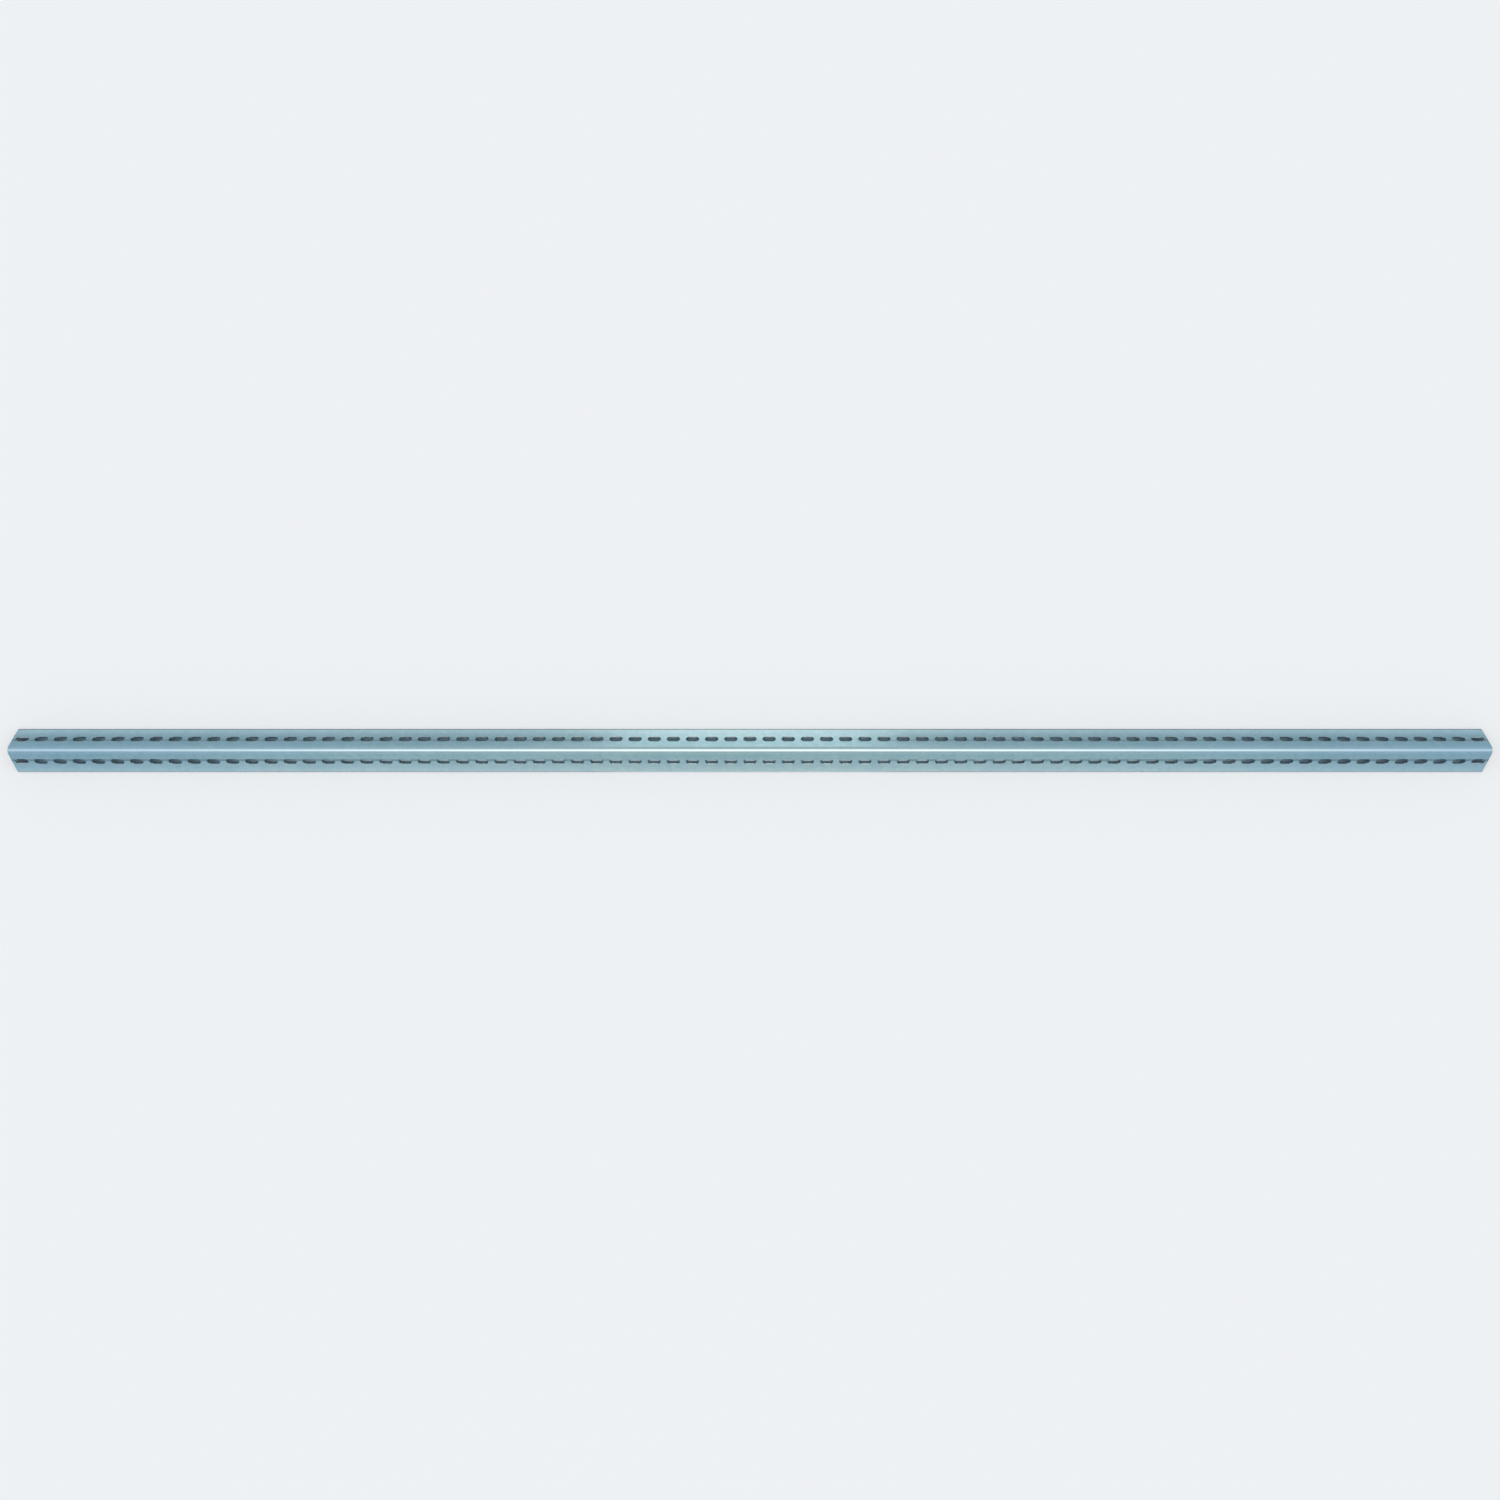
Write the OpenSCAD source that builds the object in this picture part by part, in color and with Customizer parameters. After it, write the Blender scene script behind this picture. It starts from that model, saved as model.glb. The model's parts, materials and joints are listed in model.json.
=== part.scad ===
// Slotted angle profile: an equal-leg steel angle, cold-formed from galvanised strip,
// with one row of slots punched along the middle of each leg and both ends cut square.
// It lies on its two leg edges with the outside of the bend up.
// The origin is on the floor, under the bend, midway along the length.
// +X runs along the profile and +Z is up. All sizes are in millimetres.

/* [Section] */
// Outside width of a leg, from its edge to the sharp outside corner
leg_w = 40; // [32:1:80]
// Thickness of the strip
wall = 2.5; // [1.5:0.25:4]
// Inside radius of the bend
bend_in_r = 5; // [0.5:0.5:8]
// Rounding of the strip's slit edges
edge_r = 0.4; // [0.1:0.1:0.7]

/* [Length] */
// Cut length of the profile
profile_len = 1925; // [100:25:3000]

/* [Slots] */
// Length of a slot, end to end
slot_len = 17; // [10:0.5:22]
// Width of a slot
slot_w = 8.5; // [4:0.5:9.5]
// Spacing of the slots along a leg, centre to centre
slot_pitch = 25; // [20:0.5:60]
// Distance of a slot row from the sharp outside corner, along the leg
slot_row = 21; // [16:0.5:26]
// Least steel that is left between a slot and a cut end
end_web_min = 3; // [1:0.5:10]

/* [Hidden] */
$fn = 48;

// The zinc skin, as it looks in cool daylight
zinc_colour = "#96b3bf";
// How far a slot cutter stands out past each face of the leg
cut_over = 1;

// Outside radius of the bend
bend_out_r = bend_in_r + wall;
// Straight part of a leg, from the end of the bend to the edge
leg_flat = leg_w - bend_out_r;
// Height of the sharp outside corner when both legs stand on their inner edges
corner_h = (leg_w + wall - 2 * edge_r) / sqrt(2) + edge_r;
// As many slots as fit in the length, with the row centred on it
slot_count = floor((profile_len - slot_len - 2 * end_web_min) / slot_pitch) + 1;
first_slot_x = -(slot_count - 1) * slot_pitch / 2;

// One leg's straight part in section, lying along the first axis with its outer face at zero.
// Its free end has both corners rounded, as a slit edge has.
module leg_section() {
    translate([bend_out_r, 0]) {
        square([leg_flat - edge_r, wall]);
        translate([0, edge_r])
            square([leg_flat, wall - 2 * edge_r]);
        for (corner = [edge_r, wall - edge_r])
            translate([leg_flat - edge_r, corner])
                circle(r = edge_r);
    }
}

// The quarter ring of the bend in section.
module bend_section() {
    translate([bend_out_r, bend_out_r])
        intersection() {
            difference() {
                circle(r = bend_out_r);
                circle(r = bend_in_r);
            }
            translate([-bend_out_r, -bend_out_r])
                square(bend_out_r);
        }
}

// The whole L section, with its sharp outside corner at the origin and a leg along each axis.
module angle_section() {
    leg_section();
    mirror([1, -1])
        leg_section();
    bend_section();
}

// A slot's outline: a straight middle and two round ends.
module slot_outline() {
    centre_gap = slot_len - slot_w;
    square([centre_gap, slot_w], center = true);
    for (side = [-1, 1])
        translate([side * centre_gap / 2, 0])
            circle(d = slot_w);
}

// All slots of the leg that lies along +Y with its outer face at Z zero.
module slot_row_cut() {
    for (i = [0 : slot_count - 1])
        translate([first_slot_x + i * slot_pitch, slot_row, -cut_over])
            linear_extrude(height = wall + 2 * cut_over)
                slot_outline();
}

// The finished profile: the section run out to length, both rows punched, then stood on its edges.
module angle_profile() {
    color(zinc_colour)
        translate([0, 0, corner_h])
            rotate([225, 0, 0])
                difference() {
                    rotate([90, 0, 90])
                        linear_extrude(height = profile_len, center = true)
                            angle_section();
                    slot_row_cut();
                    mirror([0, 1, -1])
                        slot_row_cut();
                }
}

angle_profile();
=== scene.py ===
# %% [markdown]
# # A slotted angle profile
# This is a length of galvanised steel angle with a row of slots along each leg: the stock that
# racks, shelves and brackets are bolted together from. It is one piece of steel, so the scene has
# one piece too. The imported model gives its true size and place, and everything below is built in
# that same frame, in metres.

# %% Load the frame
import json
import math

import bmesh
import bpy
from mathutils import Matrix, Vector


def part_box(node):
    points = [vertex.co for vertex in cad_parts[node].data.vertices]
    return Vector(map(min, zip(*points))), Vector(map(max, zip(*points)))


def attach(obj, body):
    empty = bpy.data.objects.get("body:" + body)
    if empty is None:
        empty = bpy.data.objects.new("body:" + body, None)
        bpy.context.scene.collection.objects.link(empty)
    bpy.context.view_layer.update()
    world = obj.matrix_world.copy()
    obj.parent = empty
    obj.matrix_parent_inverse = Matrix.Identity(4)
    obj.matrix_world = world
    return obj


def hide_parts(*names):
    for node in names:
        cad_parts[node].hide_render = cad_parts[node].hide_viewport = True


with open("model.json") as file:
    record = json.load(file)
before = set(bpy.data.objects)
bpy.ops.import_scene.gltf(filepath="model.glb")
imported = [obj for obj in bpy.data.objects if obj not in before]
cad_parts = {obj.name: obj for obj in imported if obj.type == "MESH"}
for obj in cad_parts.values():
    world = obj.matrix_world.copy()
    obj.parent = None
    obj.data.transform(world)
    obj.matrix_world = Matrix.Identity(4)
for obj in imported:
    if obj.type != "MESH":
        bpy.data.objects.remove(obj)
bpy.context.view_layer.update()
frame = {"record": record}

# %% [markdown]
# ## Sizes
# The record keeps some of the slots as mounts, so the slot's width, length and place are read from
# one of them, and the depth of the slot is the thickness of the strip. The mount lies on the outer
# face of a leg that leans 45 degrees. Its height plus its distance from the middle is therefore the
# height of the sharp outside corner, the point where the two outer faces would meet if the bend had
# no radius. The leg's width, the two radii and the pitch aren't values in the record, so they are
# written here as they are in the part's source.

# %% Read the sizes off the frame
MM = 0.001
low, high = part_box("angle_profile")
profile_len = high.x - low.x

mounts = {mount["name"]: mount for mount in frame["record"]["mounts"]}
slot_mount = mounts["back_leg_slot_1"]
slot_w = 2 * slot_mount["dims"]["hole_r_mm"] * MM
slot_len = slot_mount["dims"]["slot_length_mm"] * MM
wall = slot_mount["dims"]["length_mm"] * MM

slot_y = abs(slot_mount["pos_m"][1])
slot_z = slot_mount["pos_m"][2]
corner_h = slot_z + slot_y
slot_row = slot_y * math.sqrt(2)

leg_w = 40 * MM
bend_in_r = 5 * MM
edge_r = 0.4 * MM
slot_pitch = 25 * MM
slot_count = round(profile_len / slot_pitch)
print("slots in each leg:", slot_count)
print("slot row from the corner, mm:", round(slot_row / MM, 2))

# %% [markdown]
# ## From flat blank to angle
# The real profile starts as flat strip off a coil. A press punches the slots while the strip is
# flat, and rollers then fold it along its middle. The mesh is made in the same order: each point is
# placed on the flat blank, and one function folds it. A point has three numbers on the blank: how
# far it is along the profile, how far across from the middle, measured on the outer face, and how
# deep it lies below that face. Working flat keeps the slot outlines simple, and the bend comes out
# as a true arc.

# %% Fold a point of the blank
bend_out_r = bend_in_r + wall
bend_axis_z = corner_h - bend_out_r * math.sqrt(2)
half_bend = bend_out_r * math.pi / 4
blank_half = half_bend + leg_w - bend_out_r


def fold(along, across, depth):
    """Carries a point of the flat blank onto the folded angle."""
    side = math.copysign(1, across)
    turn = min(abs(across), half_bend) / bend_out_r
    straight = max(abs(across) - half_bend, 0)
    radius = bend_out_r - depth
    y = radius * math.sin(turn) + straight * math.cos(turn)
    z = bend_axis_z + radius * math.cos(turn) - straight * math.sin(turn)
    return Vector((along, side * y, z))


ridge_z = fold(0, 0, 0).z
print("blank width, mm:", round(2 * blank_half / MM, 2))
print("top of the bend, mm:", round(ridge_z / MM, 2))

# %% [markdown]
# ## Rings around a slot
# A Boolean would cut the slots in one step, but it leaves long thin triangles across the flats, and
# they shade in streaks. Rings of quads are drawn around each slot instead. The outermost ring is
# the rectangle of one pitch, and every ring has the same number of points, so two neighbours are
# joined by a simple band. The end arcs take most of the points, and the four corners of the
# rectangle fall on the steps a quarter along each arc.

# %% Outlines of the slot and of its pitch
END_STEPS = 12
CORNER_STEP = END_STEPS // 4
COLUMN_DIGITS = 9
straight_half = (slot_len - slot_w) / 2
slot_mid = half_bend + slot_row - bend_out_r
flat_start = half_bend
flat_end = blank_half - edge_r


def slot_ring(grow, depth):
    """The slot's outline, grown outwards all round, at one depth below the outer face."""
    ring = []
    radius = slot_w / 2 + grow
    for side in (1, -1):
        for step in range(END_STEPS + 1):
            angle = math.pi * (step / END_STEPS - 0.5)
            along = straight_half + radius * math.cos(angle)
            ring.append((side * along, slot_mid + side * radius * math.sin(angle), depth))
    return ring


def pitch_ring(depth):
    """The rectangle of one pitch on the flat of a leg, with a point for each of a slot ring's."""
    ring = []
    reach = slot_pitch / 2 - straight_half
    for side in (1, -1):
        for step in range(END_STEPS + 1):
            to_corner = min(step, END_STEPS - step, CORNER_STEP) / CORNER_STEP
            up_side = (step - CORNER_STEP) / (END_STEPS - 2 * CORNER_STEP)
            share = min(max(up_side, 0), 1)
            if side < 0:
                share = 1 - share
            across = flat_start + share * (flat_end - flat_start)
            ring.append((side * (straight_half + to_corner * reach), across, depth))
    return ring


columns = sorted({round(along, COLUMN_DIGITS) for along, across, depth in pitch_ring(0)})
print("points in a ring:", len(slot_ring(0, 0)), "columns in a pitch:", len(columns))

# %% [markdown]
# ## What the punch leaves
# A punched slot isn't a clean cut. Where the punch goes in, it draws the rim down into a small
# radius. Below that is a burnished band, and the last third breaks away and opens a little towards
# the far face. These are tenths of a millimetre, yet the rounded rim is what catches the light
# around every slot, so it is real geometry here. The list runs from the outer face, through the
# slot, to the inner face.

# %% Rings from face to face through a slot
RIM_R = 0.5 * MM
RIM_STEPS = 3
FLAT_MARGIN = 2 * MM
BURNISH_END = 1.7 * MM
BREAK_OUT = 0.1 * MM
FAR_EDGE = 0.15 * MM
ZINC, SHEARED = 0, 1

slot_rings = [
    (pitch_ring(0), ZINC),
    (slot_ring(FLAT_MARGIN, 0), ZINC),
    (slot_ring(RIM_R, 0), ZINC),
]
for step in range(1, RIM_STEPS + 1):
    angle = math.pi / 2 * step / RIM_STEPS
    rim = slot_ring(RIM_R * (1 - math.sin(angle)), RIM_R * (1 - math.cos(angle)))
    slot_rings.append((rim, ZINC))
slot_rings.append((slot_ring(0, BURNISH_END), SHEARED))
slot_rings.append((slot_ring(BREAK_OUT, wall - FAR_EDGE), SHEARED))
slot_rings.append((slot_ring(BREAK_OUT + FAR_EDGE, wall), SHEARED))
slot_rings.append((slot_ring(FLAT_MARGIN, wall), ZINC))
slot_rings.append((pitch_ring(wall), ZINC))
print("rings through a slot:", len(slot_rings))

# %% [markdown]
# ## One pitch of the profile
# The profile repeats every 25 mm, so only one pitch is drawn: the two slotted flats, the bend
# between them, and the slit edges with their small radius. A bmesh holds it while it is drawn, and
# three small functions do the drawing.

# %% Helpers that draw one pitch
first_x = -(slot_count - 1) / 2 * slot_pitch
pitch_bm = bmesh.new()


def add_points(ring, side):
    """Folds a ring of the blank and adds it, on the back leg (side 1) or the front leg (side -1)."""
    points = []
    for along, across, depth in ring:
        points.append(pitch_bm.verts.new(fold(first_x + along, side * across, depth)))
    return points


def join(ring_a, ring_b, finish, closed):
    """Joins two rows of points with a band of quads."""
    count = len(ring_a)
    for i in range(count if closed else count - 1):
        j = (i + 1) % count
        quad = pitch_bm.faces.new((ring_a[i], ring_a[j], ring_b[j], ring_b[i]))
        quad.material_index = finish
        quad.smooth = True


def across_row(across, depth):
    """A straight row of blank points at the pitch's columns."""
    return [(along, across, depth) for along in columns]


print("middle of the first pitch, mm:", round(first_x / MM, 2))

# %% [markdown]
# ## The two legs
# Each leg is the rings of its slot, joined one to the next from the outer face to the inner face.
# Its slit edge follows: a small radius, the narrow face that the slitting blade cut, and the same
# radius again.

# %% Draw both legs
EDGE_STEPS = 3

corner_turns = [math.pi / 2 * step / EDGE_STEPS for step in range(EDGE_STEPS + 1)]
outer_corner = [(flat_end + edge_r * math.sin(a), edge_r * (1 - math.cos(a))) for a in corner_turns]
inner_corner = [(across, wall - depth) for across, depth in reversed(outer_corner)]

for side in (1, -1):
    rings = [add_points(ring, side) for ring, finish in slot_rings]
    for i in range(len(rings) - 1):
        join(rings[i], rings[i + 1], slot_rings[i + 1][1], closed=True)

    edge_rows = [add_points(across_row(*place), side) for place in outer_corner + inner_corner]
    for i in range(len(edge_rows) - 1):
        slit_face = SHEARED if i == EDGE_STEPS else ZINC
        join(edge_rows[i], edge_rows[i + 1], slit_face, closed=False)
print("quads in both legs:", len(pitch_bm.faces))

# %% [markdown]
# ## The bend
# The bend is a run of straight rows, once on the outer face and once on the inner one. All bands
# were made on their own, so the points that fall in the same place are merged now, which closes the
# pitch except at its two cut sides.

# %% Draw the bend and merge the pitch
BEND_STEPS = 12
MERGE_WITHIN = 0.001 * MM

for depth in (0, wall):
    bend_rows = []
    for step in range(BEND_STEPS + 1):
        across = half_bend * (2 * step / BEND_STEPS - 1)
        bend_rows.append(add_points(across_row(across, depth), 1))
    for i in range(BEND_STEPS):
        join(bend_rows[i], bend_rows[i + 1], ZINC, closed=False)

bmesh.ops.remove_doubles(pitch_bm, verts=pitch_bm.verts, dist=MERGE_WITHIN)
bmesh.ops.recalc_face_normals(pitch_bm, faces=pitch_bm.faces)
pitch_mesh = bpy.data.meshes.new("one_pitch")
pitch_bm.to_mesh(pitch_mesh)
pitch_bm.free()
print("quads in one pitch:", len(pitch_mesh.polygons))

# %% [markdown]
# ## The whole length
# An Array modifier repeats the pitch and merges each copy with the next, as the press and rollers
# repeat it in the mill. Its result is turned into a plain mesh, because the two cut ends still have
# to be closed.

# %% Repeat the pitch
pitch_object = bpy.data.objects.new("one_pitch", pitch_mesh)
bpy.context.collection.objects.link(pitch_object)
array = pitch_object.modifiers.new("pitches", "ARRAY")
array.count = slot_count
array.use_relative_offset = False
array.use_constant_offset = True
array.constant_offset_displace = (slot_pitch, 0, 0)
array.use_merge_vertices = True
array.merge_threshold = MERGE_WITHIN
shown = pitch_object.evaluated_get(bpy.context.evaluated_depsgraph_get())
profile_mesh = bpy.data.meshes.new_from_object(shown)
profile_mesh.name = "slotted_angle"
bpy.data.objects.remove(pitch_object)
print("quads in the whole length:", len(profile_mesh.polygons))

# %% [markdown]
# ## The cut ends
# Each open outline gets a face, and a fine bevel breaks its edges as a file or a worn shear blade
# would. A face with so many corners in line can be split into slivers when the mesh is exported, so
# it is split evenly here.

# %% Close the cut ends
CUT_BEVEL = 0.2 * MM
BEVEL_STEPS = 2
ROUND_BEVEL = 0.5
ANY_SIDES = 0
QUAD_CORNERS = 4

whole = bmesh.new()
whole.from_mesh(profile_mesh)
open_edges = [edge for edge in whole.edges if edge.is_boundary]
caps = bmesh.ops.holes_fill(whole, edges=open_edges, sides=ANY_SIDES)["faces"]
for cap in caps:
    cap.material_index = SHEARED
bmesh.ops.bevel(
    whole,
    geom=open_edges,
    offset=CUT_BEVEL,
    offset_type="OFFSET",
    segments=BEVEL_STEPS,
    profile=ROUND_BEVEL,
    affect="EDGES",
    clamp_overlap=True,
    material=SHEARED,
)
cut_faces = [face for face in whole.faces if len(face.verts) > QUAD_CORNERS]
bmesh.ops.triangulate(whole, faces=cut_faces, ngon_method="BEAUTY")
bmesh.ops.recalc_face_normals(whole, faces=whole.faces)
gaps = [edge for edge in whole.edges if not edge.is_manifold]
whole.to_mesh(profile_mesh)
whole.free()
print("cut ends closed:", len(caps), "open edges left:", len(gaps))
print("faces:", len(profile_mesh.polygons))

# %% [markdown]
# ## The piece in the frame
# The new mesh stands for the CAD solid, which stays in the physics model. Weighted normals let the
# large flats keep their own direction and leave the shading change to the narrow rims and the bend.

# %% Put the piece in its place
slotted_angle = bpy.data.objects.new("slotted_angle", profile_mesh)
bpy.context.collection.objects.link(slotted_angle)
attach(slotted_angle, "root")
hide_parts("angle_profile")
weighted = slotted_angle.modifiers.new("flat_faces_lead", "WEIGHTED_NORMAL")
weighted.mode = "FACE_AREA"
print("piece:", slotted_angle.name, "points:", len(profile_mesh.vertices))

# %% [markdown]
# ## Colours and nodes
# Colours are written as the sRGB hex codes that a colour picker shows. Blender's shaders work in
# linear light, so one function converts them. A second small function adds a node, sets it up and
# links it, which keeps each material readable as a list of its layers.

# %% Two helpers for materials
def linear(hex_code):
    """Turns an sRGB hex colour into the linear colour that a shader works in."""
    channels = [int(hex_code[i:i + 2], 16) / 255 for i in (1, 3, 5)]
    light = [c / 12.92 if c <= 0.04045 else ((c + 0.055) / 1.055) ** 2.4 for c in channels]
    return (*light, 1.0)


def add_node(tree, kind, inputs=None, **settings):
    """Adds one node: settings are its own properties, inputs are values or sockets to link."""
    node = tree.nodes.new(kind)
    for name, value in settings.items():
        setattr(node, name, value)
    for name, value in (inputs or {}).items():
        if isinstance(value, bpy.types.NodeSocket):
            tree.links.new(value, node.inputs[name])
        else:
            node.inputs[name].default_value = value
    return node


print("middle grey in linear light:", round(linear("#808080")[0], 3))

# %% [markdown]
# ## Galvanised strip
# The strip was drawn through molten zinc and then lightly rolled. A blue passivating dip gives the
# cool tint. To the eye that is a satin, blue-grey metal that is never quite even. A photograph of
# zinc could be laid over the mesh, but layers of noise built up in the order in which the marks
# were made stay sharp at any distance. The layers only need a place on the object, so the material
# starts from the object's own coordinates.

# %% Start the galvanised material
galvanised = bpy.data.materials.new("galvanised_strip")
galvanised.use_nodes = True
zinc = galvanised.node_tree
zinc_shader = zinc.nodes["Principled BSDF"]
zinc_shader.inputs["Metallic"].default_value = 1.0
place = add_node(zinc, "ShaderNodeTexCoord").outputs["Object"]
place_axes = add_node(zinc, "ShaderNodeSeparateXYZ", {"Vector": place}).outputs
slotted_angle.data.materials.append(galvanised)
print("material started:", galvanised.name)

# %% [markdown]
# ## Spangle
# Zinc freezes in flat crystals a few millimetres across. Each lies at a slightly different tilt, so
# one is a touch brighter than the next. A Voronoi texture gives one flat tone to each cell. Its
# straight borders look like tiles, so noise first shifts the place where the cells are looked up,
# and the borders wander.

# %% Spangle of the zinc
SPANGLE = 6 * MM
WANDER_DETAIL = 2.0

wander = add_node(zinc, "ShaderNodeTexNoise", {
    "Vector": place,
    "Scale": 1 / SPANGLE,
    "Detail": WANDER_DETAIL,
}).outputs["Color"]
shift = add_node(zinc, "ShaderNodeVectorMath", {
    0: wander,
    "Scale": SPANGLE,
}, operation="SCALE").outputs["Vector"]
shifted = add_node(zinc, "ShaderNodeVectorMath", {
    0: place,
    1: shift,
}, operation="ADD").outputs["Vector"]
crystals = add_node(zinc, "ShaderNodeTexVoronoi", {
    "Vector": shifted,
    "Scale": 1 / SPANGLE,
}).outputs["Color"]
spangle = add_node(zinc, "ShaderNodeSeparateColor", {"Color": crystals}).outputs["Red"]
print("zinc crystals, mm:", round(SPANGLE / MM, 1))

# %% [markdown]
# ## Roller streaks and clouds
# The forming rollers leave faint streaks along the length, and handling and storage leave soft
# clouds. Both are noise. For the streaks a Mapping node squeezes the noise across the strip and
# stretches it along the strip.

# %% Streaks and clouds
STREAK_ACROSS = 1.5 * MM
STREAK_ALONG = 180 * MM
STREAK_DETAIL = 3.0
CLOUD = 70 * MM
CLOUD_DETAIL = 3.0

stretched = add_node(zinc, "ShaderNodeMapping", {
    "Vector": place,
    "Scale": (1 / STREAK_ALONG, 1 / STREAK_ACROSS, 1 / STREAK_ACROSS),
}).outputs["Vector"]
streaks = add_node(zinc, "ShaderNodeTexNoise", {
    "Vector": stretched,
    "Scale": 1.0,
    "Detail": STREAK_DETAIL,
}).outputs["Fac"]
clouds = add_node(zinc, "ShaderNodeTexNoise", {
    "Vector": place,
    "Scale": 1 / CLOUD,
    "Detail": CLOUD_DETAIL,
}).outputs["Fac"]
print("streaks, mm:", round(STREAK_ACROSS / MM, 1), "by", round(STREAK_ALONG / MM, 1))

# %% [markdown]
# ## Tone across the strip
# The zinc is duller next to the bend and gets lighter towards the slit edges. Distance from the
# middle of the profile says where a point lies, the same on both legs, so one number drives this.
# The bend is painted a little lighter again, and its crest is painted bright: a painted highlight,
# added to the light that the crest mirrors.

# %% Tone from the bend to the edges
LEG_CURVE = 2.0
CREST_HALF = 2.6 * MM
CREST_CORE = CREST_HALF / 3
BEND_HIGHLIGHT = 0.2
BEND_BLUR = 0.7 * MM

signed = place_axes["Y"]
from_middle = add_node(zinc, "ShaderNodeMath", {0: signed}, operation="ABSOLUTE").outputs["Value"]
bend_y = fold(0, half_bend, 0).y
up_leg = add_node(zinc, "ShaderNodeMapRange", {
    "Value": from_middle,
    "From Min": bend_y,
    "From Max": fold(0, flat_end, 0).y,
}).outputs["Result"]
# The tone gets lighter from the end of the bend towards the slit edges.
lighter_to_edges = add_node(zinc, "ShaderNodeMath", {
    0: up_leg,
    1: LEG_CURVE,
}, operation="POWER").outputs["Value"]
# Painted highlight: the crest is painted bright and the rest of the bend a little lighter.
crest_highlight = add_node(zinc, "ShaderNodeMapRange", {
    "Value": from_middle,
    "From Min": CREST_HALF,
    "From Max": CREST_CORE,
}, interpolation_type="SMOOTHSTEP").outputs["Result"]
bend_highlight = add_node(zinc, "ShaderNodeMapRange", {
    "Value": from_middle,
    "From Min": bend_y + BEND_BLUR,
    "From Max": bend_y - BEND_BLUR,
    "To Max": BEND_HIGHLIGHT,
}, interpolation_type="SMOOTHSTEP").outputs["Result"]
painted_highlight = add_node(zinc, "ShaderNodeMath", {
    0: crest_highlight,
    1: bend_highlight,
}, operation="MAXIMUM").outputs["Value"]
print("the bend ends at, mm from the middle:", round(bend_y / MM, 2))

# %% [markdown]
# ## Dull line and band
# A fine dull line runs between the slots of each leg, with a wider dull band around it on the back
# leg. Each is drawn by how far a point lies from one place across the strip.

# %% Dull line and band
DULL_LINE_Y = 13 * MM
DULL_LINE_HALF = 2.1 * MM
BAND_Y = 15 * MM
BAND_HALF = 12 * MM
BAND_SHARE = 0.42

past_dull_line = add_node(zinc, "ShaderNodeMath", {
    0: from_middle,
    1: DULL_LINE_Y,
}, operation="SUBTRACT").outputs["Value"]
from_dull_line = add_node(zinc, "ShaderNodeMath", {
    0: past_dull_line,
}, operation="ABSOLUTE").outputs["Value"]
fine_line = add_node(zinc, "ShaderNodeMapRange", {
    "Value": from_dull_line,
    "From Min": DULL_LINE_HALF,
    "From Max": 0.0,
}, interpolation_type="SMOOTHSTEP").outputs["Result"]
past_band = add_node(zinc, "ShaderNodeMath", {
    0: signed,
    1: BAND_Y,
}, operation="SUBTRACT").outputs["Value"]
from_band = add_node(zinc, "ShaderNodeMath", {
    0: past_band,
}, operation="ABSOLUTE").outputs["Value"]
band = add_node(zinc, "ShaderNodeMapRange", {
    "Value": from_band,
    "From Min": BAND_HALF,
    "From Max": 0.0,
    "To Max": BAND_SHARE,
}, interpolation_type="SMOOTHSTEP").outputs["Result"]
line_and_band = add_node(zinc, "ShaderNodeMath", {
    0: fine_line,
    1: band,
}, operation="MAXIMUM").outputs["Value"]
print("guide line, mm from the middle:", round(DULL_LINE_Y / MM, 2))

# %% [markdown]
# ## Where the line and band fade out
# Around the middle of the length there is neither the line nor the band, so the distance along the
# length fades both out.

# %% Fade the line and band out around the middle
LINE_FADE_FROM = 150 * MM
LINE_FADE_TO = 210 * MM

along_from_middle = add_node(zinc, "ShaderNodeMath", {
    0: place_axes["X"],
}, operation="ABSOLUTE").outputs["Value"]
away_from_middle = add_node(zinc, "ShaderNodeMapRange", {
    "Value": along_from_middle,
    "From Min": LINE_FADE_FROM,
    "From Max": LINE_FADE_TO,
}, interpolation_type="SMOOTHSTEP").outputs["Result"]
dull = add_node(zinc, "ShaderNodeMath", {
    0: line_and_band,
    1: away_from_middle,
}, operation="MULTIPLY").outputs["Value"]
print("the line is whole from, mm along:", round(LINE_FADE_TO / MM, 1))

# %% [markdown]
# ## Painted shadow along the edges
# A darker line is painted along the slit edges: painted shadow, in place of the contact shadow
# where the raised edge of a leg meets the floor. It is clear along the back leg and faint along the
# front leg, where it fades out around the middle of the length as the dull line does. The two legs
# differ, so this layer takes the distance from the middle with its sign.

# %% Painted shadow along the edges
EDGE_SHADE_WIDTH = 1.4 * MM
FRONT_SHADE_SHARE = 0.5

edge_y = fold(0, blank_half, edge_r).y
# Painted shadow: a dark band along the back edge, and a fainter one along the front edge.
back_edge_shade = add_node(zinc, "ShaderNodeMapRange", {
    "Value": signed,
    "From Min": edge_y - EDGE_SHADE_WIDTH,
    "From Max": edge_y,
}, interpolation_type="SMOOTHSTEP").outputs["Result"]
front_shade_full = add_node(zinc, "ShaderNodeMapRange", {
    "Value": signed,
    "From Min": EDGE_SHADE_WIDTH - edge_y,
    "From Max": -edge_y,
    "To Max": FRONT_SHADE_SHARE,
}, interpolation_type="SMOOTHSTEP").outputs["Result"]
front_edge_shade = add_node(zinc, "ShaderNodeMath", {
    0: front_shade_full,
    1: away_from_middle,
}, operation="MULTIPLY").outputs["Value"]
edge_shade = add_node(zinc, "ShaderNodeMath", {
    0: back_edge_shade,
    1: front_edge_shade,
}, operation="MAXIMUM").outputs["Value"]
print("wear starts at, mm from the middle:", round((edge_y - EDGE_SHADE_WIDTH) / MM, 2))

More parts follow.
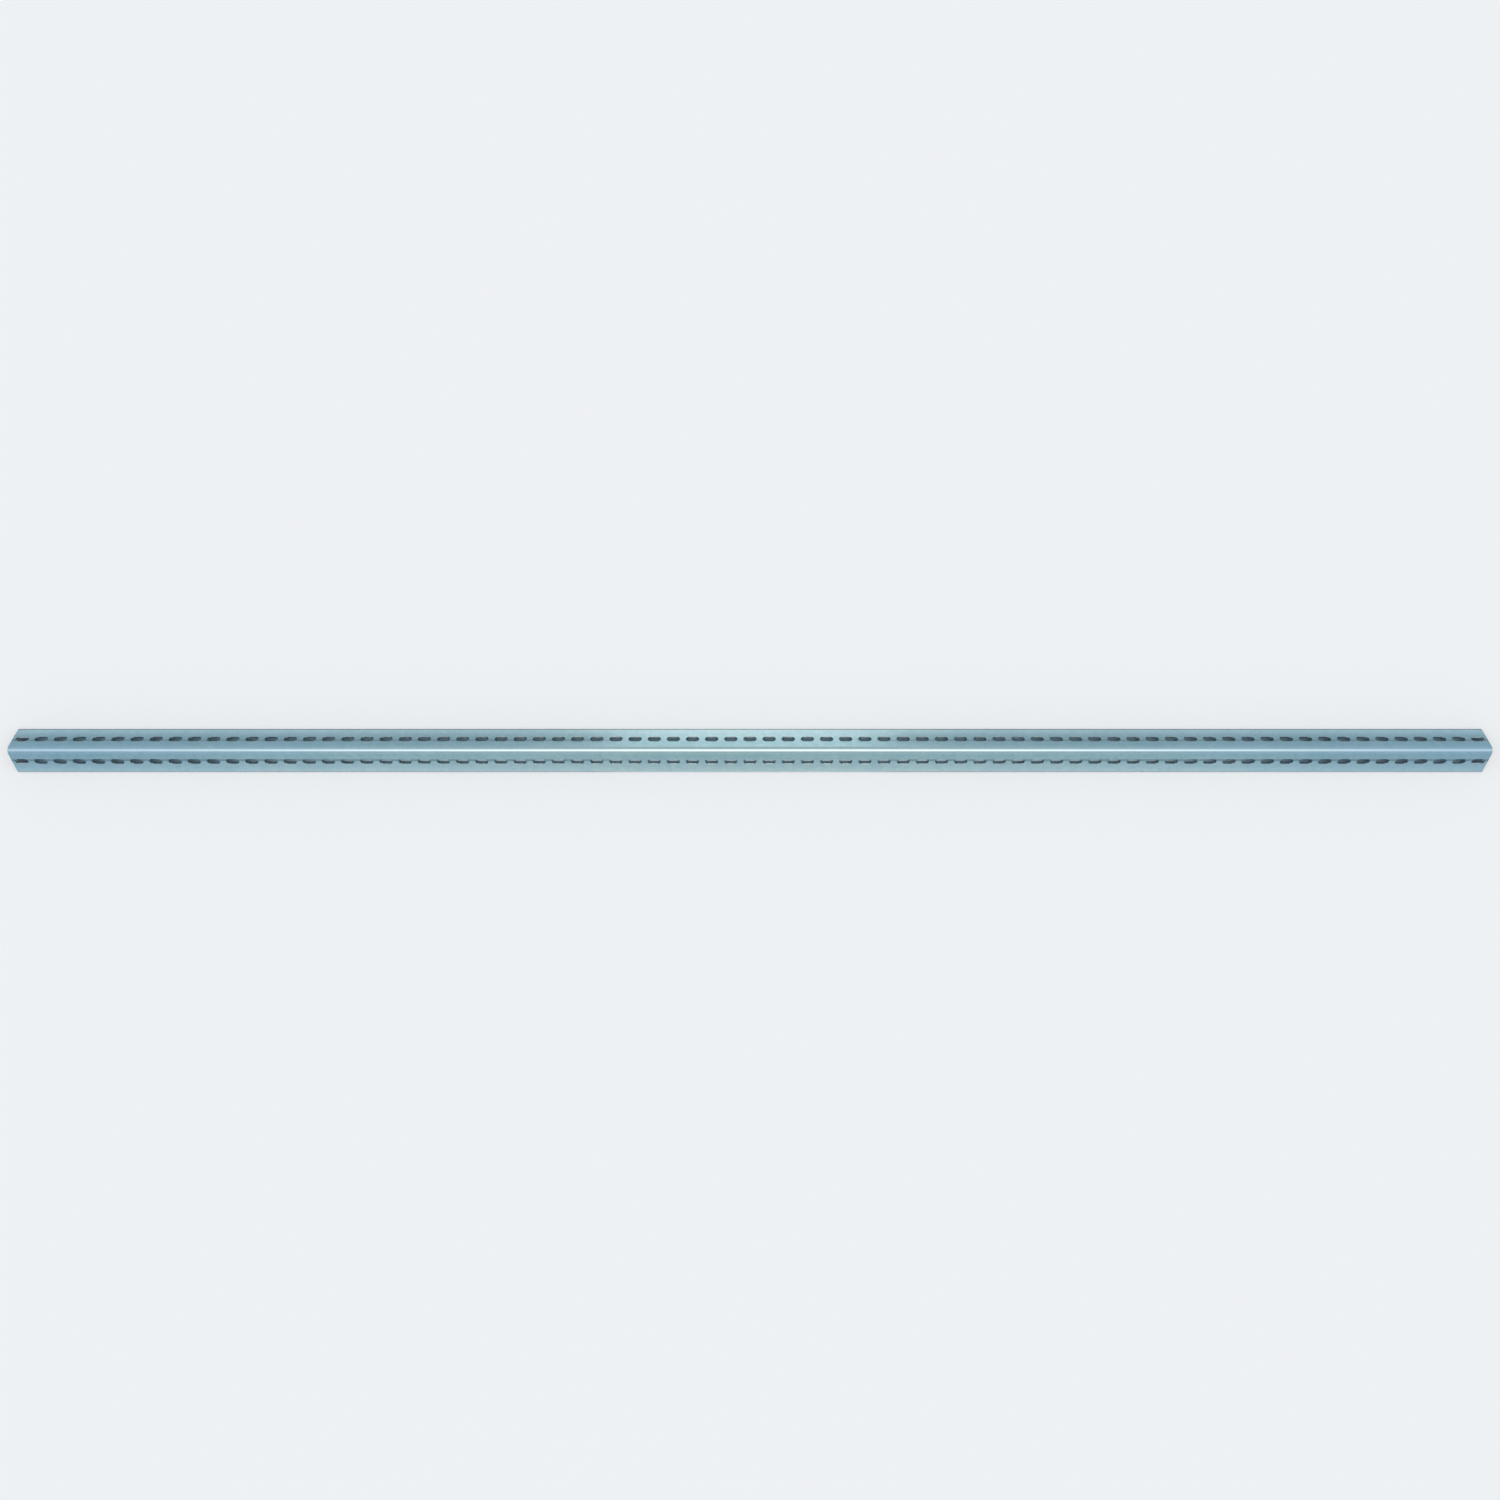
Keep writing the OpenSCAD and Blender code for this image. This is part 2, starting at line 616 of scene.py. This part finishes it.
# %% [markdown]
# ## Colour of the zinc
# The layers are mixed into one tone, and the tone picks the colour from a ramp. The painted crest
# highlight, the dull line and band, and the painted shadow along the edges are laid over it in turn,
# each with its own colour.

# %% Mix the layers into a colour
STREAK_SHARE = 0.6
CLOUD_SHARE = 0.4
EDGE_LIGHTEN_SHARE = 0.5
DULL_AT = 0.2
LIGHT_AT = 0.8
DULL_ZINC = "#88adba"
LIGHT_ZINC = "#b0cdd7"
HIGHLIGHT_ZINC = "#bacdd4"
DULL_LINE_ZINC = "#6f8c97"
EDGE_SHADE_ZINC = "#59686f"

streaky = add_node(zinc, "ShaderNodeMix", {
    "Factor": STREAK_SHARE,
    "A": spangle,
    "B": streaks,
}).outputs["Result"]
cloudy = add_node(zinc, "ShaderNodeMix", {
    "Factor": CLOUD_SHARE,
    "A": streaky,
    "B": clouds,
}).outputs["Result"]
tone = add_node(zinc, "ShaderNodeMix", {
    "Factor": EDGE_LIGHTEN_SHARE,
    "A": cloudy,
    "B": lighter_to_edges,
}).outputs["Result"]

zinc_ramp = add_node(zinc, "ShaderNodeValToRGB", {"Fac": tone})
dull_stop, light_stop = zinc_ramp.color_ramp.elements
dull_stop.position = DULL_AT
dull_stop.color = linear(DULL_ZINC)
light_stop.position = LIGHT_AT
light_stop.color = linear(LIGHT_ZINC)

skin = zinc_ramp.outputs["Color"]
for layer, hex_code in ((painted_highlight, HIGHLIGHT_ZINC), (dull, DULL_LINE_ZINC), (edge_shade, EDGE_SHADE_ZINC)):
    skin = add_node(zinc, "ShaderNodeMix", {
        "Factor": layer,
        "A": skin,
        "B": linear(hex_code),
    }, data_type="RGBA").outputs["Result"]
zinc.links.new(skin, zinc_shader.inputs["Base Color"])
print("zinc from", DULL_ZINC, "to", LIGHT_ZINC)

# %% [markdown]
# ## Gloss and relief of the zinc
# The same tone sets the roughness, because a lighter patch of zinc is a smoother one. The streaks
# are felt as well as seen, so they drive a faint bump.

# %% Gloss and relief
DULL_ROUGH = 0.32
LIGHT_ROUGH = 0.22
STREAK_BUMP = 0.25
STREAK_DEPTH = 0.02 * MM

satin = add_node(zinc, "ShaderNodeMapRange", {
    "Value": tone,
    "To Min": DULL_ROUGH,
    "To Max": LIGHT_ROUGH,
}).outputs["Result"]
zinc.links.new(satin, zinc_shader.inputs["Roughness"])
streak_relief = add_node(zinc, "ShaderNodeBump", {
    "Height": streaks,
    "Strength": STREAK_BUMP,
    "Distance": STREAK_DEPTH,
}).outputs["Normal"]
zinc.links.new(streak_relief, zinc_shader.inputs["Normal"])
print("material:", galvanised.name, "nodes:", len(zinc.nodes))

# %% [markdown]
# ## Sheared steel
# The slot walls, the slit edges and the two ends were cut after the zinc went on. The tool rubs the
# cut smooth and drags a little zinc over it, so a cut face is bright and greyer than the zinc, with
# fine score lines in the direction of the cut. It is smooth enough to mirror a lamp, which is what
# makes the slot walls light up.

# %% Score lines of the sheared steel
SCORE = 0.4 * MM
SCORE_ALONG = 6 * MM
SCORE_DETAIL = 2.0

sheared = bpy.data.materials.new("sheared_steel")
sheared.use_nodes = True
steel = sheared.node_tree
steel_shader = steel.nodes["Principled BSDF"]
steel_shader.inputs["Metallic"].default_value = 1.0
cut_place = add_node(steel, "ShaderNodeTexCoord").outputs["Object"]
score_space = add_node(steel, "ShaderNodeMapping", {
    "Vector": cut_place,
    "Scale": (1 / SCORE, 1 / SCORE_ALONG, 1 / SCORE_ALONG),
}).outputs["Vector"]
scores = add_node(steel, "ShaderNodeTexNoise", {
    "Vector": score_space,
    "Scale": 1.0,
    "Detail": SCORE_DETAIL,
}).outputs["Fac"]
slotted_angle.data.materials.append(sheared)
print("score lines, mm:", round(SCORE / MM, 2), "by", round(SCORE_ALONG / MM, 2))

# %% [markdown]
# ## Finish of a cut face
# One noise, the score lines, drives everything here. It picks the colour from a ramp, sets the
# roughness and lifts a faint bump, so a bright line is also a rough and raised one.

# %% Colour, gloss and relief of the sheared steel
DARK_AT = 0.3
BRIGHT_AT = 0.7
DARK_SCORE = "#b4bdc3"
BRIGHT_SCORE = "#d6dcdf"
DARK_ROUGH = 0.22
BRIGHT_ROUGH = 0.36
SCORE_BUMP = 0.3
SCORE_DEPTH = 0.03 * MM

steel_ramp = add_node(steel, "ShaderNodeValToRGB", {"Fac": scores})
dark_stop, bright_stop = steel_ramp.color_ramp.elements
dark_stop.position = DARK_AT
dark_stop.color = linear(DARK_SCORE)
bright_stop.position = BRIGHT_AT
bright_stop.color = linear(BRIGHT_SCORE)
steel.links.new(steel_ramp.outputs["Color"], steel_shader.inputs["Base Color"])
rough_cut = add_node(steel, "ShaderNodeMapRange", {
    "Value": scores,
    "To Min": DARK_ROUGH,
    "To Max": BRIGHT_ROUGH,
}).outputs["Result"]
steel.links.new(rough_cut, steel_shader.inputs["Roughness"])
score_relief = add_node(steel, "ShaderNodeBump", {
    "Height": scores,
    "Strength": SCORE_BUMP,
    "Distance": SCORE_DEPTH,
}).outputs["Normal"]
steel.links.new(score_relief, steel_shader.inputs["Normal"])
print("material:", sheared.name, "nodes:", len(steel.nodes))

# %% [markdown]
# ## Floor and card
# The profile lies on a plain pale floor. It is open underneath, and a pale floor lit through two
# rows of slots would make the slots look grey and flat. A blue-grey card lies between the legs as
# painted shade: a dark sheet that stands in for the shadow under the profile, so that the slots read
# as holes. At each end it tapers and reaches a little way out, where the end slots look down on it.

# %% Floor and card
FLOOR_HALF = 100.0
FLOOR_COLOUR = "#f5f2f0"
MATT = 0.9
SHADE_CARD_MIDDLE = "#9ab7c4"
CARD_INSET = 2 * MM
CARD_LIFT = 0.2 * MM
CARD_TONGUE = 5 * MM
TONGUE_TAPER = 2


def stage_sheet(name, corners, z, hex_code):
    """A flat matt sheet of the stage, from the corners of its outline."""
    mesh = bpy.data.meshes.new(name)
    mesh.from_pydata([(x, y, z) for x, y in corners], [], [range(len(corners))])
    sheet = bpy.data.objects.new(name, mesh)
    bpy.context.collection.objects.link(sheet)
    matt = bpy.data.materials.new(name)
    matt.use_nodes = True
    matt_shader = matt.node_tree.nodes["Principled BSDF"]
    matt_shader.inputs["Base Color"].default_value = linear(hex_code)
    matt_shader.inputs["Roughness"].default_value = MATT
    mesh.materials.append(matt)
    return sheet


def mirrored(corner_run):
    """Turns a run of corners half a turn about the middle and joins the two runs into one outline."""
    return corner_run + [(-x, -y) for x, y in corner_run]


card_x = profile_len / 2
card_y = fold(0, blank_half - edge_r, wall).y - CARD_INSET
tongue_y = card_y - TONGUE_TAPER * CARD_TONGUE
floor_corners = mirrored([(FLOOR_HALF, -FLOOR_HALF), (FLOOR_HALF, FLOOR_HALF)])
card_corners = mirrored([
    (card_x, -card_y),
    (card_x + CARD_TONGUE, -tongue_y),
    (card_x + CARD_TONGUE, tongue_y),
    (card_x, card_y),
])
stage_sheet("pale_floor", floor_corners, 0, FLOOR_COLOUR)
# The card is painted shade, a dark sheet where there is only the shadow under the profile.
card = stage_sheet("painted_shade_card", card_corners, CARD_LIFT, SHADE_CARD_MIDDLE)
print("card width between the legs, mm:", round(2 * card_y / MM, 1))

# %% [markdown]
# ## Shade of the card
# The open ends let more light in, so the card is painted darker there, more painted shade, and the
# end slots stay as dark as the others. Its tip, which lies outside, fades into the floor like the
# edge of a soft shadow. Both depend only on the distance from the middle of the length.

# %% Shade of the card
SHADE_CARD_END = "#55676f"
DARKEN_FROM = 1.3 * slot_pitch
DARK_BY = 0.6 * slot_pitch
TIP_START = 0.3 * CARD_TONGUE

card_tree = card.data.materials[0].node_tree
card_shader = card_tree.nodes["Principled BSDF"]
card_place = add_node(card_tree, "ShaderNodeTexCoord").outputs["Object"]
card_along = add_node(card_tree, "ShaderNodeSeparateXYZ", {"Vector": card_place}).outputs["X"]
from_centre = add_node(card_tree, "ShaderNodeMath", {
    0: card_along,
}, operation="ABSOLUTE").outputs["Value"]
near_end = add_node(card_tree, "ShaderNodeMapRange", {
    "Value": from_centre,
    "From Min": card_x - DARKEN_FROM,
    "From Max": card_x - DARK_BY,
}, interpolation_type="SMOOTHSTEP").outputs["Result"]
at_tip = add_node(card_tree, "ShaderNodeMapRange", {
    "Value": from_centre,
    "From Min": card_x + TIP_START,
    "From Max": card_x + CARD_TONGUE,
}, interpolation_type="SMOOTHSTEP").outputs["Result"]
card_shade = add_node(card_tree, "ShaderNodeMix", {
    "Factor": near_end,
    "A": linear(SHADE_CARD_MIDDLE),
    "B": linear(SHADE_CARD_END),
}, data_type="RGBA").outputs["Result"]
card_colour = add_node(card_tree, "ShaderNodeMix", {
    "Factor": at_tip,
    "A": card_shade,
    "B": linear(FLOOR_COLOUR),
}, data_type="RGBA").outputs["Result"]
card_tree.links.new(card_colour, card_shader.inputs["Base Color"])
print("the card darkens over, mm:", round((DARKEN_FROM - DARK_BY) / MM, 1))

# %% [markdown]
# ## Softboxes
# A leg leans 45 degrees. Seen from above, it mirrors what stands level with it and not what hangs
# over it, so the legs are lit by two low softboxes. The one behind is narrow, and its glow fades
# along the back leg. It also shines through the back slots onto the walls of the front ones. The
# one in front is wide and weak. The camera doesn't see them, but the metal does. So low a lamp would
# leave a glaring patch on the floor beside it, so light linking keeps both of them to the profile.

# %% Two softboxes
def hang(name, lamp, at, lit):
    """Hangs a lamp, aims it at the middle of the profile and lets it light one object alone."""
    lamp_object = bpy.data.objects.new(name, lamp)
    lamp_object.location = at
    lamp_object.rotation_euler = (-Vector(at)).to_track_quat("-Z", "Y").to_euler()
    lamp_object.visible_camera = False
    bpy.context.collection.objects.link(lamp_object)
    receivers = bpy.data.collections.new("lit_by_" + name)
    receivers.objects.link(lit)
    lamp_object.light_linking.receiver_collection = receivers
    print(name, "hangs at", at, "and lights", lit.name)


def softbox(name, at, size, power, hex_code):
    """A rectangular area light for the profile."""
    lamp = bpy.data.lights.new(name, "AREA")
    lamp.shape = "RECTANGLE"
    lamp.size, lamp.size_y = size
    lamp.energy = power
    lamp.color = linear(hex_code)[:3]
    hang(name, lamp, at, slotted_angle)


softbox("back_softbox", at=(0, 1.7, 0.14), size=(0.7, 0.24), power=1.22, hex_code="#ffeddc")
softbox("front_softbox", at=(0, -1.7, 0.28), size=(2.6, 0.5), power=0.9, hex_code="#ffe6cc")

# %% [markdown]
# ## Light under the slots
# In the middle third of the photograph the front slots look thinner than the back ones. A lamp that
# hangs a little in front throws its light through them onto what lies below, and the near side of
# each hole shows it. A spot that lights the card alone draws that patch, and its soft cone fades
# before the ends.

# %% Spot for the card
SPOT_AT = (0, -0.43, 1.6)
SPOT_POWER = 72
SPOT_COLOUR = "#fff6ea"
SPOT_RADIUS = 0.05
SPOT_CONE = math.radians(47)
SPOT_BLEND = 0.7

spot = bpy.data.lights.new("slot_spot", "SPOT")
spot.energy = SPOT_POWER
spot.color = linear(SPOT_COLOUR)[:3]
spot.shadow_soft_size = SPOT_RADIUS
spot.spot_size = SPOT_CONE
spot.spot_blend = SPOT_BLEND
hang("slot_spot", spot, SPOT_AT, card)

# %% [markdown]
# ## Room light
# The crest of the bend is level, so it mirrors the roof of the room. The world is drawn as a light
# tent, from the direction in which it is looked at: walls that get lighter with height, and a strip
# of light in the roof. The strip hangs a little in front of the profile, is brightest over the
# middle and fades towards both ends. That is what makes the crest a white line in the middle and a
# faint one at the ends.

# %% Walls and roof strip of the light tent
WALL_LEVEL = 0.82
ROOF_LEVEL = 0.95
WALL_TOP = 0.4
STRIP_LEVEL = 2.2
STRIP_LEAN = 0.1
STRIP_ALONG = 0.57
STRIP_ACROSS = 0.42

world = bpy.data.worlds.new("light_tent")
bpy.context.scene.world = world
world.use_nodes = True
tent = world.node_tree
direction = add_node(tent, "ShaderNodeTexCoord").outputs["Generated"]
looking = add_node(tent, "ShaderNodeSeparateXYZ", {"Vector": direction}).outputs
walls = add_node(tent, "ShaderNodeMapRange", {
    "Value": looking["Z"],
    "From Min": 0.0,
    "From Max": WALL_TOP,
    "To Min": WALL_LEVEL,
    "To Max": ROOF_LEVEL,
}, interpolation_type="SMOOTHSTEP").outputs["Result"]
leaned = add_node(tent, "ShaderNodeMath", {
    0: looking["Y"],
    1: STRIP_LEAN,
}, operation="ADD").outputs["Value"]
to_side = add_node(tent, "ShaderNodeMath", {0: leaned}, operation="ABSOLUTE").outputs["Value"]
to_end = add_node(tent, "ShaderNodeMath", {0: looking["X"]}, operation="ABSOLUTE").outputs["Value"]
long_fade = add_node(tent, "ShaderNodeMapRange", {
    "Value": to_end,
    "From Min": STRIP_ALONG,
    "From Max": 0.0,
}, interpolation_type="SMOOTHSTEP").outputs["Result"]
cross_fade = add_node(tent, "ShaderNodeMapRange", {
    "Value": to_side,
    "From Min": STRIP_ACROSS,
    "From Max": 0.0,
}, interpolation_type="SMOOTHSTEP").outputs["Result"]
strip = add_node(tent, "ShaderNodeMath", {
    0: long_fade,
    1: cross_fade,
}, operation="MULTIPLY").outputs["Value"]
level = add_node(tent, "ShaderNodeMath", {
    0: strip,
    1: STRIP_LEVEL,
    2: walls,
}, operation="MULTIPLY_ADD").outputs["Value"]
tent.links.new(level, tent.nodes["Background"].inputs["Strength"])
print("light tent: walls", WALL_LEVEL, "roof", ROOF_LEVEL, "strip adds", STRIP_LEVEL)

# %% [markdown]
# ## Tint of the room light
# The light over the middle is a little warm, and the light from the two ends is cooler, which turns
# the zinc bluer towards the ends of the profile.

# %% Tint of the light tent
COOL_FROM = 0.1
COOL_TO = 0.5
MIDDLE_TINT = "#fdf8f0"
END_TINT = "#dfeefd"

cool = add_node(tent, "ShaderNodeMapRange", {
    "Value": to_end,
    "From Min": COOL_FROM,
    "From Max": COOL_TO,
}, interpolation_type="SMOOTHSTEP").outputs["Result"]
tint = add_node(tent, "ShaderNodeMix", {
    "Factor": cool,
    "A": linear(MIDDLE_TINT),
    "B": linear(END_TINT),
}, data_type="RGBA").outputs["Result"]
tent.links.new(tint, tent.nodes["Background"].inputs["Color"])
print("light tent nodes:", len(tent.nodes))

# %% [markdown]
# ## Camera
# The photograph looks almost straight down from about 1.7 m, and the profile fills the width of the
# frame. The ends look like shallow chevrons because the ridge is nearer to the lens than the leg
# edges are, and that is what the distance was worked out from. The camera leans a touch towards the
# front leg.

# %% Camera
PHOTO_PX = 1500
PROFILE_PX = 1485.5
ELEVATION = math.radians(88.6)
CAMERA_GAP = 1.707
SENSOR_MM = 36

camera_data = bpy.data.cameras.new("camera")
camera_data.sensor_width = SENSOR_MM
view_w = profile_len * PHOTO_PX / PROFILE_PX
camera_data.lens = SENSOR_MM * CAMERA_GAP / view_w
camera = bpy.data.objects.new("camera", camera_data)
aim = Vector((0, 0, ridge_z))
camera.location = aim + CAMERA_GAP * Vector((0, -math.cos(ELEVATION), math.sin(ELEVATION)))
camera.rotation_euler = (aim - camera.location).to_track_quat("-Z", "Y").to_euler()
bpy.context.collection.objects.link(camera)
bpy.context.scene.camera = camera
bpy.context.scene.view_settings.view_transform = "Standard"
print("lens, mm:", round(camera_data.lens, 2))
